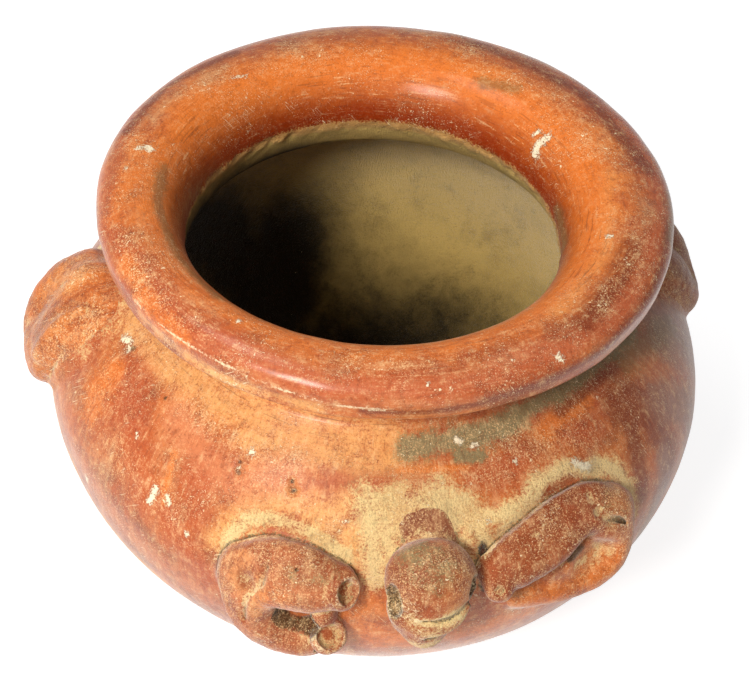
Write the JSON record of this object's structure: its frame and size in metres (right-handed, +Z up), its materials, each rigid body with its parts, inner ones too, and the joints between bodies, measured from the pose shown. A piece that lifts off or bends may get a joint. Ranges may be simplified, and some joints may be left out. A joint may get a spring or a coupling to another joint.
{
  "type": "ceramic effigy jar",
  "caption": "Small round ceramic jar with a wide, thick everted lip, and the head and bent limbs of a crouching animal in relief on its shoulder.",
  "frame": {"origin": "middle of the flat face that the jar rests on", "axes": "+Z up through the mouth, -Y towards the animal head, +X to the right of a viewer who faces the head"},
  "size_m": [0.1901, 0.1955, 0.1233],
  "materials": {
    "red_slip": "satin, burnished red slip with worn and earthy patches",
    "burnished_rim": "satin, darker burnished red slip, worn along the edge",
    "relief_clay": "matte to satin, rubbed red-brown slip with earth in the hollows",
    "earthy_clay": "matte, ochre earth over clay",
    "base_clay": "matte, bare worn clay"
  },
  "bodies": {
    "root": {"base_pad": "base_clay", "lower_wall": "red_slip", "shoulder_wall": "red_slip", "neck_collar": "burnished_rim", "rim_lip": "burnished_rim", "effigy_neck": "earthy_clay", "effigy_head": "relief_clay", "effigy_muzzle": "relief_clay", "effigy_lip": "relief_clay", "front_left_arm": "relief_clay", "front_left_forearm": "relief_clay", "front_left_paw": "relief_clay", "front_left_lower_paw": "relief_clay", "front_right_arm": "relief_clay", "front_right_forearm": "relief_clay", "front_right_paw": "relief_clay", "hind_left_thigh": "relief_clay", "hind_left_shin": "relief_clay", "hind_right_thigh": "relief_clay", "hind_right_shin": "relief_clay"}
  },
  "joints": []
}
